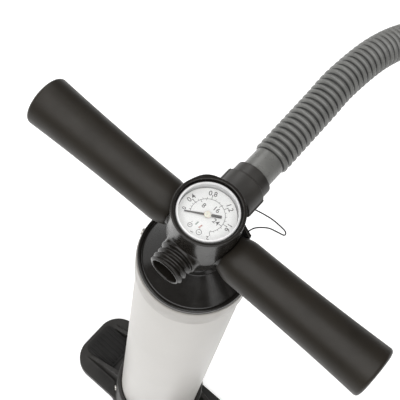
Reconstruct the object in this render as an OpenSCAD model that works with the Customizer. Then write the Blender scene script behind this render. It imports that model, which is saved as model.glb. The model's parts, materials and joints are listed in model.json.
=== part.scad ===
// Stand-up double-action hand pump with a T handle, a pressure gauge in the
// handle hub, a screwed hose and foot plates. Millimetres, +Z up, X along the
// handle, +Y towards the hose, origin on the floor under the rod axis.

/* [Overall] */
// Height of the top cap's rim above the floor
rim_z = 515; // [480:5:560]
// Travel of the handle, from resting on the gland to the top
stroke = 430; // [300:5:440]

/* [Base] */
// Half width of the foot plates
plate_x = 115; // [105:1:125]
// Depth of the foot plates, front to back
plate_y = 92; // [80:1:100]
// Thickness of the foot plates
plate_t = 13; // [10:1:16]
// Outer radius of the pedestal at the floor
pedestal_r = 59; // [57:1:64]
// Height of the pedestal that holds the barrel
pedestal_h = 62; // [50:1:80]

/* [Barrel] */
// Outer radius of the barrel
barrel_r = 49; // [48:0.5:50]
// Wall thickness of the barrel
barrel_wall = 2.5; // [2:0.25:3]
// Height of the collar under the top cap
collar_h = 26; // [22:1:32]

/* [Top cap] */
// Outer radius of the cap's rim
cap_r = 49.8; // [49.5:0.1:50.5]
// Height of the cap's rim
cap_rim_h = 5.8; // [5:0.2:7]
// Height of the cone above the rim
cone_h = 20; // [16:1:22]

/* [Rods] */
// Outer radius of the outer rod
rod_r = 14; // [13:0.5:15]
// Wall thickness of the outer rod
rod_wall = 1.6; // [1.2:0.2:2]
// Outer radius of the inner air tube
air_tube_r = 8; // [7:0.5:8.5]

/* [Handle] */
// Height of the handle axis above the cap's rim
handle_h = 58; // [56:1:64]
// Half length of the handle
handle_half = 174; // [160:1:185]
// Grip radius extrapolated to the middle of the handle
grip_r = 20.25; // [18:0.05:21]
// How fast the grip narrows away from the hub
grip_waist = 2; // [0:0.1:3]
// How fast the grip flares towards its end
grip_flare = 2.1; // [0:0.1:3]

/* [Hub] */
// Radius of the pot that holds the gauge
pot_r = 29.4; // [29:0.1:31]
// Height of the pot's rim above the cap's rim
pot_h = 98.5; // [96:0.5:104]
// Radius of the hub's neck round the rod
neck_r = 22; // [20:0.5:24]
// Distance from the hub's axis to the mouth of the front port
front_port_y = 47; // [44:1:52]
// Bore radius of the front port
front_bore_r = 12; // [11:0.5:12.5]
// Outer radius of the port threads
port_r = 15.4; // [15:0.1:15.5]

/* [Gauge] */
// Outer radius of the clear gauge cap
lens_r = 25.1; // [24:0.1:25.5]

/* [Hose] */
// Outer radius of the hose
hose_r = 16.2; // [14:0.1:17]
// Mean wall thickness of the hose
hose_wall = 2.2; // [1.5:0.1:3]
// Outer radius of the smooth cuff
cuff_r = 14; // [13:0.25:14.25]
// Radius of the tether cord
tether_r = 0.6; // [0.5:0.1:0.8]

/* [Hidden] */
$fn = 64;
bore_r = barrel_r - barrel_wall;
base_floor = 12;
gasket_t = 2;
gap = 0.05;
screw_r = 1.6;
base_screw_z = 40;
cap_screw_z = rim_z - 12;
cap_screw_turn = 10.7;
axis_z = rim_z + handle_h;
pot_top = rim_z + pot_h;
hub_bottom = rim_z + cone_h + 4;
hub_side = 27.5;
arm_r = 15.2;
arm_end = 75;
brow_r = 18.5;
brow_out = 12.5;
brow_turn = 132;
brow_h = 12;
socket_r = 12.55;
socket_in = 20;
core_r = 12.5;
core_wall = 2;
grip_in = hub_side + 0.3;
grip_corner = 3.5;
grip_full = 42;
grip_neck = 3.75;
rod_top = rim_z + 46;
air_tube_top = rod_top + 5;
piston_bottom = base_floor + 8;
piston_t = 30;
piston_split = piston_bottom + 16;
piston_r = bore_r - 0.7;
seal_z = piston_bottom + 6;
seal_h = 5;
plug_z = rim_z + 31.5;
plug_stem_r = 3.5;
pot_floor = pot_top - 25.5;
pot_bore_r = pot_r - 2.8;
lens_top = pot_top - 0.9;
case_r = lens_r - 1.4;
dial_z = lens_top - 8.8;
needle_rest = -148.5;
sector_pivot = 10;
sector_r = 8.4;
pinion_r = 1.5;
valve_r = 9;
rear_port_y = 46;
rear_bore_r = 11.5;
nut_y = 36;
nut_r = 18.8;
nut_rib_r = 19.5;
nut_rib_turn = 12;
nut_wide = 18.5;
sleeve_r = 16.9;
sleeve_end = nut_y + 29;
cuff_in = rear_port_y + 1.2;
cuff_end = 85.6;
nozzle_x = 300;
nozzle_y = -100;
nozzle_z = 17;
nozzle_r = 17;
spigot_r = 11.5;

// Middle of the hose, from the cuff to the nozzle
hose_route = [
    [0, 86, 573], [-0.5, 121, 573], [-1, 156, 573], [-1.5, 190, 573], [3, 240, 567],
    [13, 288, 547], [29, 325, 516], [50, 350, 477], [76, 362, 434], [97, 364, 387],
    [125, 363, 341], [147, 364, 295], [174, 363, 252], [196, 366, 204], [219, 361, 163],
    [246, 351, 117], [268, 329, 77], [283, 295, 45], [294, 249, 24], [302, 194, 17],
    [300, 138, 17], [300, 78, 17], [300, 19, 17], [300, -41, 17], [300, -100, 17]
];
// Middle of the tether, from the mode plug to the hub's ear
tether_route = [
    [2, 46, 546.5], [8, 51, 546.5], [16, 55, 546], [29, 59, 543], [39, 59.5, 542],
    [46, 58, 543], [47.5, 54, 545], [42, 50, 550], [36, 45, 557], [31.5, 38, 564],
    [28.5, 31, 570], [27, 23.4, 574]
];

// ---------------------------------------------------------------- helpers

// A flat ring standing on z
module ring(outer, inner, z, h) {
    translate([0, 0, z])
        difference() {
            cylinder(r = outer, h = h);
            translate([0, 0, -1]) cylinder(r = inner, h = h + 2);
        }
}

// A cylinder along +Y from y0 to y1 at height z
module y_rod(r, y0, y1, z) {
    translate([0, y0, z]) rotate([-90, 0, 0]) cylinder(r = r, h = y1 - y0);
}

// A cylinder along +X from x0 to x1 at height z
module x_rod(r, x0, x1, z) {
    translate([x0, 0, z]) rotate([0, 90, 0]) cylinder(r = r, h = x1 - x0);
}

// A ring about the Y axis at height z
module y_ring(outer, inner, y0, y1, z) {
    difference() {
        y_rod(outer, y0, y1, z);
        y_rod(inner, y0 - 1, y1 + 1, z);
    }
}

// A rounded rectangle in the XY plane
module round_rect(w, d, r) {
    square([w - 2 * r, d], center = true);
    square([w, d - 2 * r], center = true);
    for (x = [-1, 1], y = [-1, 1])
        translate([x * (w / 2 - r), y * (d / 2 - r)]) circle(r = r);
}

// Radial cylinder from r0 to r1 at height z, turned by a
module radial(a, z, r, r0, r1) {
    rotate([0, 0, a]) x_rod(r, r0, r1, z);
}

// One point of a smooth curve through the route, at u = 0 .. number of spans
function route_point(p, u) =
    let (n = len(p) - 1, i = min(floor(u), n - 1), t = u - i,
         b = p[i], c = p[i + 1],
         a = i > 0 ? p[i - 1] : 2 * b - c,
         d = i < n - 1 ? p[i + 2] : 2 * c - b)
    0.5 * (2 * b + (c - a) * t + (2 * a - 5 * b + 4 * c - d) * t * t
           + (3 * b - a - 3 * c + d) * t * t * t);

function unit(v) = v / norm(v);

// One ring of points round the route; side is a direction the route never takes
function route_ring(p, u, r, sides, side) =
    let (e = 0.01, n = len(p) - 1,
         way = unit(route_point(p, min(n, u + e)) - route_point(p, max(0, u - e))),
         across = unit(cross(way, side)), over = cross(across, way))
    [for (k = [0:sides - 1])
        route_point(p, u) + r * (cos(360 * k / sides) * across + sin(360 * k / sides) * over)];

// The walls between rings of points; out is false for the wall of a bore
function ring_walls(start, sides, rings, out) = [
    for (i = [0:rings - 2], k = [0:sides - 1])
        let (a = start + i * sides + k, b = start + i * sides + (k + 1) % sides)
        each out ? [[a, b, b + sides], [a, b + sides, a + sides]]
                 : [[a, b + sides, b], [a, a + sides, b + sides]]];

// A solid cord swept along a route with a number of rings
module swept(p, r, sides, rings, side) {
    n = len(p) - 1;
    points = [for (i = [0:rings - 1]) each route_ring(p, i * n / (rings - 1), r, sides, side)];
    first = [for (k = [sides - 1:-1:0]) k];
    last = [for (k = [0:sides - 1]) (rings - 1) * sides + k];
    polyhedron(points = points, faces = concat([first], ring_walls(0, sides, rings, true), [last]));
}

// A hollow hose swept along a route with a number of rings
module swept_hollow(p, r, bore, sides, rings, side) {
    n = len(p) - 1;
    skins = [for (radius = [r, bore], i = [0:rings - 1])
        each route_ring(p, i * n / (rings - 1), radius, sides, side)];
    inner = sides * rings;
    tip = sides * (rings - 1);
    ends = [for (k = [0:sides - 1]) let (j = (k + 1) % sides)
        each [[j, k, inner + k], [j, inner + k, inner + j],
            [tip + k, tip + j, inner + tip + j], [tip + k, inner + tip + j, inner + tip + k]]];
    polyhedron(points = skins, faces = concat(ring_walls(0, sides, rings, true),
        ring_walls(inner, sides, rings, false), ends));
}

// ---------------------------------------------------------------- base

module base_plate() {
    rib_w = 5;
    color([0.13, 0.13, 0.13])
    difference() {
        union() {
            rotate_extrude()
                polygon([[0, 0], [pedestal_r, 0], [pedestal_r, 8],
                    [pedestal_r - 3, plate_t + 3], [54.5, pedestal_h - 4],
                    [53.5, pedestal_h], [0, pedestal_h]]);
            linear_extrude(height = plate_t) round_rect(2 * plate_x, plate_y, 30);
            for (s = [-1, 1], y = [-26, 26])
                translate([0, y + rib_w / 2, 0]) rotate([90, 0, 0])
                    linear_extrude(height = rib_w)
                        polygon([[s * 40, plate_t - 1], [s * 100, plate_t - 1],
                            [s * 100, plate_t], [s * 52, pedestal_h - 12],
                            [s * 40, pedestal_h - 12]]);
        }
        translate([0, 0, base_floor]) cylinder(r = barrel_r + 0.15, h = pedestal_h);
        for (s = [-1, 1], x = [0:1], y = [-1:1])
            translate([s * (74.5 + 19 * x), 22 * y, 3.5]) cube([16, 19, 15], center = true);
        for (a = [45:90:315]) radial(a, base_screw_z, screw_r + 0.1, 40, 70);
    }
}

module foot_pads() {
    color([0.22, 0.22, 0.22])
        for (s = [-1, 1])
            translate([s * 87, 0, plate_t]) {
                linear_extrude(height = 1.4) round_rect(46, 46, 8);
                for (i = [-3:3])
                    translate([0, 6 * i, 1.9]) cube([38, 2.4, 1.2], center = true);
            }
}

module base_screws() {
    color([0.7, 0.7, 0.7])
        for (a = [45:90:315]) {
            radial(a, base_screw_z, screw_r, bore_r + 0.3, 56);
            radial(a, base_screw_z, 3.4, 55.2, 57.2);
        }
}

module base_gasket() {
    color([0.08, 0.08, 0.08]) ring(barrel_r, bore_r, base_floor, gasket_t);
}

// ---------------------------------------------------------------- barrel

module barrel_tube() {
    z0 = base_floor + gasket_t;
    color([0.9, 0.89, 0.87])
    difference() {
        ring(barrel_r, bore_r, z0, rim_z - cap_rim_h - 0.2 - z0);
        for (a = [45:90:315]) radial(a, base_screw_z, screw_r + 0.1, 40, 60);
        for (a = [0, 180]) radial(a + cap_screw_turn, cap_screw_z, screw_r + 0.1, 40, 60);
    }
}

module barrel_collar() {
    z0 = rim_z - cap_rim_h - collar_h;
    outer = barrel_r + 1.8;
    color([0.8, 0.78, 0.76])
    difference() {
        rotate_extrude()
            polygon([[barrel_r + gap, z0], [outer - 0.6, z0], [outer, z0 + 0.6],
                [outer, rim_z - cap_rim_h], [barrel_r + gap, rim_z - cap_rim_h]]);
        for (a = [0, 180])
            radial(a + cap_screw_turn, cap_screw_z, screw_r + 0.1, 40, 60);
    }
}

module top_cap() {
    skirt_r = bore_r - 0.15;
    skirt_in = skirt_r - 3.85;
    boss_r = 24;
    color([0.12, 0.12, 0.12])
    difference() {
        translate([0, 0, rim_z]) rotate_extrude()
            polygon([[18.1, -20], [18.1, cone_h], [boss_r + 0.5, cone_h],
                [cap_r - 4, -1], [cap_r - 3.2, -1], [cap_r - 3.2, -0.4],
                [cap_r - 2.8, 0], [cap_r - 0.6, 0], [cap_r, -0.6],
                [cap_r, -cap_rim_h], [skirt_r, -cap_rim_h],
                [skirt_r, -20.5], [skirt_r - 1.7, -20.5], [skirt_r - 1.7, -24],
                [skirt_r, -24], [skirt_r, -32], [skirt_in, -32], [skirt_in, -6],
                [boss_r, cone_h - 10], [boss_r, -20]]);
        for (a = [0, 180])
            radial(a + cap_screw_turn, cap_screw_z, screw_r + 0.1, 40, 48);
    }
}

module cap_screws() {
    head = barrel_r + 1.85;
    color([0.75, 0.75, 0.75])
        for (a = [0, 180]) {
            radial(a + cap_screw_turn, cap_screw_z, screw_r, 43, head + 0.5);
            radial(a + cap_screw_turn, cap_screw_z, 3.4, head, head + 2.2);
        }
}

module cap_seal() {
    color([0.08, 0.08, 0.08])
        ring(bore_r - 0.05, bore_r - 1.8, rim_z - 23.8, 3.1);
}

module rod_bush() {
    color([0.85, 0.84, 0.8]) ring(18.05, rod_r + 0.06, rim_z - 20, 31);
}

module rod_seal() {
    color([0.08, 0.08, 0.08]) ring(18, rod_r + 0.04, rim_z + 11.2, 4.3);
}

module gland_ring() {
    color([0.13, 0.13, 0.13])
        difference() {
            union() {
                translate([0, 0, rim_z + 15.6]) cylinder(r = 18, h = 5);
                translate([0, 0, rim_z + cone_h]) cylinder(r1 = 24.3, r2 = 21.5, h = 3);
            }
            translate([0, 0, rim_z]) cylinder(r = rod_r + 0.35, h = 40);
        }
}

// ---------------------------------------------------------------- rods and piston

module outer_rod() {
    z0 = piston_split + 2;
    color([0.78, 0.79, 0.8])
    difference() {
        ring(rod_r, rod_r - rod_wall, z0, rod_top - z0);
        for (a = [0:90:270]) radial(a, piston_bottom + piston_t + 6, 3, 8, 20);
        for (a = [0, 180]) radial(a, rim_z + 34, screw_r + 0.1, 8, 20);
        radial(90, plug_z, plug_stem_r + 0.1, 8, 20);
    }
}

module air_tube() {
    color([0.86, 0.86, 0.84])
        ring(air_tube_r, air_tube_r - 1.6, piston_bottom + 4, air_tube_top - piston_bottom - 4);
}

module piston_upper() {
    color([0.16, 0.16, 0.17])
    difference() {
        translate([0, 0, piston_split]) union() {
            cylinder(r = piston_r, h = 8);
            cylinder(r = 20, h = piston_t - 16);
        }
        translate([0, 0, piston_split + 2]) cylinder(r = rod_r + gap, h = piston_t);
        translate([0, 0, piston_split - 1]) cylinder(r = air_tube_r + gap, h = piston_t);
        for (a = [0:90:270])
            rotate([0, 0, a + 45]) translate([30, 0, piston_split - 1])
                cylinder(r = screw_r + 0.1, h = 6);
    }
}

module piston_lower() {
    color([0.16, 0.16, 0.17])
    difference() {
        translate([0, 0, piston_bottom]) rotate_extrude()
            polygon([[air_tube_r + gap, 4], [piston_r, 0], [piston_r, 6],
                [piston_r - 3.2, 6], [piston_r - 3.2, 6 + seal_h], [piston_r, 6 + seal_h],
                [piston_r, 16], [air_tube_r + gap, 16]]);
        for (a = [0:90:270])
            rotate([0, 0, a + 45]) translate([30, 0, piston_bottom - 1]) {
                cylinder(r = screw_r + 0.1, h = 20);
                cylinder(r = 3.4, h = 6.5);
            }
    }
}

module piston_seal() {
    color([0.08, 0.08, 0.08])
        ring(bore_r - 0.08, piston_r - 3.15, seal_z + 0.1, seal_h - 0.2);
}

module piston_screws() {
    color([0.7, 0.7, 0.7])
        for (a = [0:90:270])
            rotate([0, 0, a + 45]) translate([30, 0, piston_bottom + 3.4]) {
                cylinder(r = 3.1, h = 2);
                cylinder(r = screw_r, h = 17);
            }
}

// ---------------------------------------------------------------- handle

// Raised thread turns on a port, as rings about Y
module thread_rings(ys, z) {
    for (y = ys)
        translate([0, y, z]) rotate([-90, 0, 0]) rotate_extrude()
            polygon([[12.8, -1.5], [13.4, -1.5], [port_r, -0.6], [port_r, 0.6],
                [13.4, 1.5], [12.8, 1.5]]);
}

module hub_body() {
    ear = [[18.2, 23.7], [22.4, 24.6], [32.6, 20.4], [32.6, 19.9], [22.4, 19.9], [20, 21]];
    color([0.2, 0.2, 0.19])
    difference() {
        union() {
            translate([0, 0, axis_z - 1.5]) cylinder(r = pot_r, h = pot_top - axis_z + 1.5);
            rotate([0, 0, brow_turn]) translate([brow_out, 0, pot_top - brow_h])
                cylinder(r = brow_r, h = brow_h - 0.4);
            translate([0, 0, hub_bottom]) cylinder(r = neck_r, h = axis_z - hub_bottom);
            x_rod(arm_r, -arm_end, arm_end, axis_z);
            y_rod(13.6, -front_port_y, 0, axis_z);
            thread_rings([-front_port_y + 1.6, -front_port_y + 6.6, -front_port_y + 11.6], axis_z);
            y_rod(16.6, -31.5, 0, axis_z);
            y_rod(port_r, 0, rear_port_y, axis_z);
            translate([0, 0, axis_z - 7]) linear_extrude(height = 14) polygon(ear);
        }
        translate([0, 0, pot_floor]) cylinder(r = pot_bore_r, h = 40);
        translate([0, 0, axis_z]) cylinder(r = 5, h = 30);
        translate([0, 0, hub_bottom - 1]) cylinder(r = rod_r + gap, h = rod_top - hub_bottom + 1);
        translate([0, 0, rod_top - 1]) cylinder(r = air_tube_r + gap, h = 6);
        translate([0, 0, rod_top]) cylinder(r = 7, h = axis_z - rod_top);
        y_rod(front_bore_r, -front_port_y - 1, -30, axis_z);
        y_rod(front_bore_r - 1, -31, -20, axis_z);
        y_rod(8, -21, 21, axis_z);
        y_rod(rear_bore_r, 20, rear_port_y + 1, axis_z);
        x_rod(socket_r, -arm_end - 1, -socket_in, axis_z);
        x_rod(socket_r, socket_in, arm_end + 1, axis_z);
        for (s = [-1, 1]) translate([s * 45, 0, axis_z - 20]) cylinder(r = 2.05, h = 12);
        for (a = [0, 180]) {
            radial(a, rim_z + 34, screw_r + 0.1, 10, 30);
            radial(a, rim_z + 34, 3.4, neck_r - 2.2, 30);
        }
        y_rod(plug_stem_r + 0.35, 10, 30, plug_z);
        translate([26.8, 21.6, axis_z - 10]) cylinder(r = 0.9, h = 20);
    }
}

module rod_screws() {
    color([0.7, 0.7, 0.7])
        for (a = [0, 180]) {
            radial(a, rim_z + 34, screw_r, 12, neck_r - 2);
            radial(a, rim_z + 34, 3.2, neck_r - 2.1, neck_r - 0.1);
        }
}

// One core tube of the handle, on side s
module core(s) {
    color([0.72, 0.73, 0.75])
    mirror([s < 0 ? 1 : 0, 0, 0])
    difference() {
        x_rod(core_r, socket_in + 0.1, handle_half - 6, axis_z);
        x_rod(core_r - core_wall, socket_in - 1, handle_half, axis_z);
        translate([45, 0, axis_z - 20]) cylinder(r = 2.05, h = 12);
    }
}

module core_left() { core(-1); }
module core_right() { core(1); }

module core_pins() {
    color([0.6, 0.6, 0.6])
        for (s = [-1, 1]) translate([s * 45, 0, axis_z - arm_r + 0.2]) cylinder(r = 2, h = 6.5);
}

// Grip radius at a distance from the middle of the handle; it necks in at the hub
function grip_at(x) = grip_r - grip_waist * x / 100 + grip_flare * pow(x / 100, 2)
    - (x < grip_full ? grip_neck * pow((grip_full - x) / (grip_full - grip_in), 2) : 0);

// One grip sleeve, on side s
module grip(s) {
    round_x = handle_half - grip_corner - 0.7;
    r_end = grip_at(round_x);
    neck_step = (grip_full - grip_in) / 4;
    step = (round_x - grip_full) / 11;
    color([0.21, 0.205, 0.19])
    difference() {
        mirror([s < 0 ? 1 : 0, 0, 0]) translate([0, 0, axis_z]) rotate([0, 90, 0])
        difference() {
            rotate_extrude()
                polygon(concat(
                    [[0, grip_in]],
                    [for (i = [0:3]) [grip_at(grip_in + i * neck_step), grip_in + i * neck_step]],
                    [for (i = [0:11]) [grip_at(grip_full + i * step), grip_full + i * step]],
                    [for (a = [18:18:90]) [r_end - grip_corner * (1 - cos(a)),
                        round_x + grip_corner * sin(a)]],
                    [[0, handle_half]]));
            translate([0, 0, grip_in - 1])
                cylinder(r = arm_r + 0.3, h = arm_end - grip_in + 1.5);
            translate([0, 0, grip_in])
                cylinder(r = core_r + 0.1, h = handle_half - grip_in - 5.5);
        }
        translate([0, 0, axis_z - 1.5]) cylinder(r = pot_r + 0.3, h = 60);
    }
}

module grip_left() { grip(-1); }
module grip_right() { grip(1); }

// ---------------------------------------------------------------- gauge

module gauge_stem() {
    color([0.75, 0.6, 0.3])
    difference() {
        translate([0, 0, axis_z + 4]) cylinder(r = 4.9, h = pot_floor - axis_z + 1);
        translate([0, 0, axis_z]) cylinder(r = 1.5, h = 40);
    }
}

module gauge_case() {
    z0 = pot_floor + 1;
    color([0.12, 0.12, 0.12])
    difference() {
        translate([0, 0, z0]) cylinder(r = case_r, h = dial_z - 0.2 - z0);
        translate([0, 0, z0 + 2]) cylinder(r = case_r - 1.5, h = 40);
        translate([0, 0, z0 - 1]) cylinder(r = 4.95, h = 5);
    }
}

module gauge_gasket() {
    color([0.06, 0.06, 0.06])
        ring(pot_bore_r - gap, lens_r + 0.1, pot_floor, pot_top - pot_floor - 3.5);
}

module gauge_lens() {
    skirt = lens_top - 14;
    color([0.9, 0.93, 0.95, 0.35])
        rotate_extrude()
            polygon([[0, lens_top], [lens_r - 1.8, lens_top], [lens_r - 0.5, lens_top - 0.4],
                [lens_r, lens_top - 1.4], [lens_r, skirt], [case_r + 0.1, skirt],
                [case_r + 0.1, lens_top - 1.8], [0, lens_top - 1.8]]);
}

module gauge_dial() {
    color([0.95, 0.95, 0.93]) ring(case_r - 0.2, 1.2, dial_z, 0.6);
}

module bourdon_tube() {
    color([0.78, 0.62, 0.3])
        translate([0, 0, pot_floor + 7]) rotate([0, 0, 110])
            rotate_extrude(angle = 250) translate([17.5, 0]) circle(r = 1.6);
}

module gauge_movement() {
    color([0.8, 0.66, 0.35]) {
        difference() {
            translate([-14.5, -4.5, pot_floor + 6]) cube([19, 9, 1]);
            translate([0, 0, pot_floor]) cylinder(r = 0.75, h = 20);
            translate([-sector_pivot, 0, pot_floor]) cylinder(r = 0.85, h = 20);
        }
        for (y = [-3.4, 3.4]) translate([-13.6, y, pot_floor + 3]) cylinder(r = 0.8, h = 3);
    }
}

module gauge_sector() {
    z0 = pot_floor + 7.4;
    color([0.8, 0.66, 0.35])
        translate([-sector_pivot, 0, 0]) {
            translate([0, 0, z0]) rotate([0, 0, -49]) rotate_extrude(angle = 53)
                translate([sector_r - 2.4, 0]) square([2.4, 1]);
            translate([0, 0, z0]) rotate([0, 0, -22]) linear_extrude(height = 1)
                polygon([[0, -1.2], [6.3, -2], [6.3, 2], [0, 1.2]]);
            translate([0, 0, pot_floor + 5.2]) cylinder(r = 0.8, h = 3.2);
            translate([0, 0, z0]) cylinder(r = 1.6, h = 1);
        }
}

module needle() {
    z0 = dial_z + 1.4;
    color([0.3, 0.28, 0.27])
        rotate([0, 0, needle_rest]) {
            translate([0, 0, z0]) linear_extrude(height = 0.5)
                polygon([[18.3, 0.4], [2, 0.9], [-2, 0.9], [-11, 1.3], [-11, -1.3], [-2, -0.9],
                    [2, -0.9], [18.3, -0.4]]);
            translate([0, 0, pot_floor + 5.4]) cylinder(r = 0.7, h = z0 - pot_floor - 5.4 + 0.4);
            translate([0, 0, pot_floor + 7.3]) cylinder(r = pinion_r, h = 1.3);
        }
}

module needle_boss() {
    color([0.93, 0.9, 0.8])
        translate([0, 0, dial_z + 1.9]) rotate_extrude()
            polygon([[0, 0], [2.9, 0], [2.9, 0.8], [2.4, 1.3], [0, 1.5]]);
}

// ---------------------------------------------------------------- valves and plug

module intake_seat() {
    color([0.16, 0.16, 0.16]) {
        y_ring(front_bore_r - 1.05, 7, -29.8, -28, axis_z);
        translate([-7.5, -29.8, axis_z - 0.75]) cube([15, 1.8, 1.5]);
        translate([-0.75, -29.8, axis_z - 7.5]) cube([1.5, 1.8, 15]);
    }
}

module intake_valve() {
    color([0.35, 0.1, 0.08]) y_rod(valve_r, -27.9, -26.9, axis_z);
}

module outlet_valve() {
    color([0.35, 0.1, 0.08]) y_rod(valve_r + 0.5, 20.1, 21.1, axis_z);
}

module mode_plug() {
    color([0.12, 0.12, 0.12]) {
        difference() {
            union() {
                y_rod(plug_stem_r, 15, neck_r + 0.8, plug_z);
                y_rod(6, neck_r + 0.4, neck_r + 9, plug_z);
                translate([-1.5, neck_r + 8, plug_z - 4.5]) cube([3, 18.5, 9]);
            }
            translate([-4, 46, plug_z]) rotate([0, 90, 0]) cylinder(r = 1, h = 8);
            y_ring(5, plug_stem_r - 0.6, 17.5, 19.3, plug_z);
        }
    }
}

module plug_seal() {
    color([0.06, 0.06, 0.06])
        y_ring(plug_stem_r + 0.28, plug_stem_r - 0.55, 17.6, 19.2, plug_z);
}

module tether() {
    color([0.06, 0.06, 0.06]) swept(tether_route, tether_r, 8, 34, [0, 0, 1]);
}

// ---------------------------------------------------------------- hose

module hose_nut() {
    color([0.12, 0.12, 0.12])
    difference() {
        union() {
            y_rod(nut_r, nut_y, nut_y + nut_wide, axis_z);
            y_rod(sleeve_r, nut_y, sleeve_end, axis_z);
            intersection() {
                y_rod(nut_rib_r, nut_y, nut_y + nut_wide, axis_z);
                translate([0, nut_y + nut_wide / 2, axis_z]) rotate([0, nut_rib_turn, 0])
                    cube([45, nut_wide, 9], center = true);
            }
        }
        y_rod(port_r + 0.35, nut_y - 1, 50, axis_z);
        y_rod(cuff_r + 0.35, 49, sleeve_end + 1, axis_z);
    }
}

module hose_washer() {
    color([0.08, 0.08, 0.08]) y_ring(15.3, 11.6, rear_port_y, cuff_in, axis_z);
}

module hose_cuff() {
    color([0.42, 0.42, 0.41])
    difference() {
        union() {
            y_rod(15.4, cuff_in, cuff_in + 2.5, axis_z);
            y_rod(cuff_r, cuff_in, cuff_end, axis_z);
        }
        y_rod(11, cuff_in - 1, cuff_end + 1, axis_z);
    }
}

module hose_tube() {
    color([0.4, 0.4, 0.39])
        swept_hollow(hose_route, hose_r, hose_r - hose_wall, 12, 25, [1, 0, 0]);
}

// A solid of revolution about the nozzle's axis, with its profile's y going out
module nozzle_turned(profile) {
    translate([nozzle_x, nozzle_y, nozzle_z]) rotate([90, 0, 0]) rotate_extrude() polygon(profile);
}

module nozzle_cuff() {
    color([0.42, 0.42, 0.41])
        nozzle_turned([[11, 0.1], [cuff_r, 0.1], [cuff_r, 24], [11, 24]]);
}

module nozzle_body() {
    color([0.12, 0.12, 0.12])
        nozzle_turned([[cuff_r + gap, 10], [nozzle_r - 1, 10], [nozzle_r, 11], [nozzle_r, 38],
            [nozzle_r - 2, 44], [7.1, 44], [7.1, 24], [cuff_r + gap, 24]]);
}

module nozzle_spigot() {
    color([0.14, 0.14, 0.14]) {
        nozzle_turned([[5, 44], [15.5, 44], [15.5, 47], [spigot_r, 47], [spigot_r, 51],
            [spigot_r - 2, 51], [spigot_r - 2, 53.5], [spigot_r, 53.5], [spigot_r, 65],
            [spigot_r - 1.5, 66.5], [5, 66.5]]);
        for (s = [-1, 1])
            translate([nozzle_x + s * 11.8, nozzle_y - 60.5, nozzle_z])
                cube([4, 4, 7], center = true);
    }
}

module nozzle_seal() {
    color([0.5, 0.08, 0.06])
        nozzle_turned([[spigot_r - 1.95, 51.1], [spigot_r + 0.5, 51.1],
            [spigot_r + 0.5, 53.4], [spigot_r - 1.95, 53.4]]);
}

base_plate();
foot_pads();
base_screws();
base_gasket();
barrel_tube();
barrel_collar();
top_cap();
cap_screws();
cap_seal();
rod_bush();
rod_seal();
gland_ring();
outer_rod();
air_tube();
piston_upper();
piston_lower();
piston_seal();
piston_screws();
hub_body();
rod_screws();
core_left();
core_right();
core_pins();
grip_left();
grip_right();
gauge_stem();
gauge_case();
gauge_gasket();
gauge_lens();
gauge_dial();
bourdon_tube();
gauge_movement();
gauge_sector();
needle();
needle_boss();
intake_seat();
intake_valve();
outlet_valve();
mode_plug();
plug_seal();
tether();
hose_nut();
hose_washer();
hose_cuff();
hose_tube();
nozzle_cuff();
nozzle_body();
nozzle_spigot();
nozzle_seal();
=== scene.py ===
import json
import math

import bpy
import numpy as np
from mathutils import Matrix, Vector


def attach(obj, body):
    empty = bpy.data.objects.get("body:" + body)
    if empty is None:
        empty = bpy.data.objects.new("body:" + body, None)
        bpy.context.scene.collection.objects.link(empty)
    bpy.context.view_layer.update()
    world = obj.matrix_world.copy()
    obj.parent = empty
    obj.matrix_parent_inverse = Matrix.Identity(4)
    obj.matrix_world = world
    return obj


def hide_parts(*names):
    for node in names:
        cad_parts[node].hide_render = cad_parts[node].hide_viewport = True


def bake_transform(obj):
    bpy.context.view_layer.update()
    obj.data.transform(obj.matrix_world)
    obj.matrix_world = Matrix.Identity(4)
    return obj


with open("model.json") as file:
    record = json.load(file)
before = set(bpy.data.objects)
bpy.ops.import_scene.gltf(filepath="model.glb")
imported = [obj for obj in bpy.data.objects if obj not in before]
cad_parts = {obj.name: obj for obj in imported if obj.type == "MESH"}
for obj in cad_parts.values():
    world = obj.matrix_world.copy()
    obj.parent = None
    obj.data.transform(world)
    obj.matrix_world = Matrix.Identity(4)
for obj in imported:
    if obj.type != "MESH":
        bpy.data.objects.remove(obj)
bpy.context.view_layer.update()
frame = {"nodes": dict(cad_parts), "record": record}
NODES = frame["nodes"]
MM = 0.001

# Heights of the design, in millimetres
RIM = 515.0  # top of the cap's outer rim
AXIS = 573.0  # the grips, the hose nut and the front port
POT_TOP = 613.5
POT_FLOOR = 588.0
LENS_TOP = 612.6
DIAL_TOP = 604.4
PLUG_HEIGHT = 546.5


# ------------------------------------------------------------------ camera
def make_camera():
    """The photo's viewpoint, fitted to the outline of the object."""
    azimuth, elevation, roll = (math.radians(a) for a in (27.26, 65.18, 14.41))
    back = Vector((math.sin(azimuth) * math.cos(elevation),
                   -math.cos(azimuth) * math.cos(elevation), math.sin(elevation)))
    level = Vector((math.cos(azimuth), math.sin(azimuth), 0))
    over = back.cross(level)
    right = math.cos(roll) * level + math.sin(roll) * over
    up = back.cross(right)
    data = bpy.data.cameras.new("camera")
    data.lens = 85.88
    data.sensor_width = 36
    data.clip_end = 50
    camera = bpy.data.objects.new("camera", data)
    turn = Matrix((right, up, back)).transposed().to_4x4()
    camera.matrix_world = Matrix.Translation((0.1289, -0.2686, 1.2718)) @ turn
    bpy.context.scene.collection.objects.link(camera)
    bpy.context.scene.camera = camera


make_camera()


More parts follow.
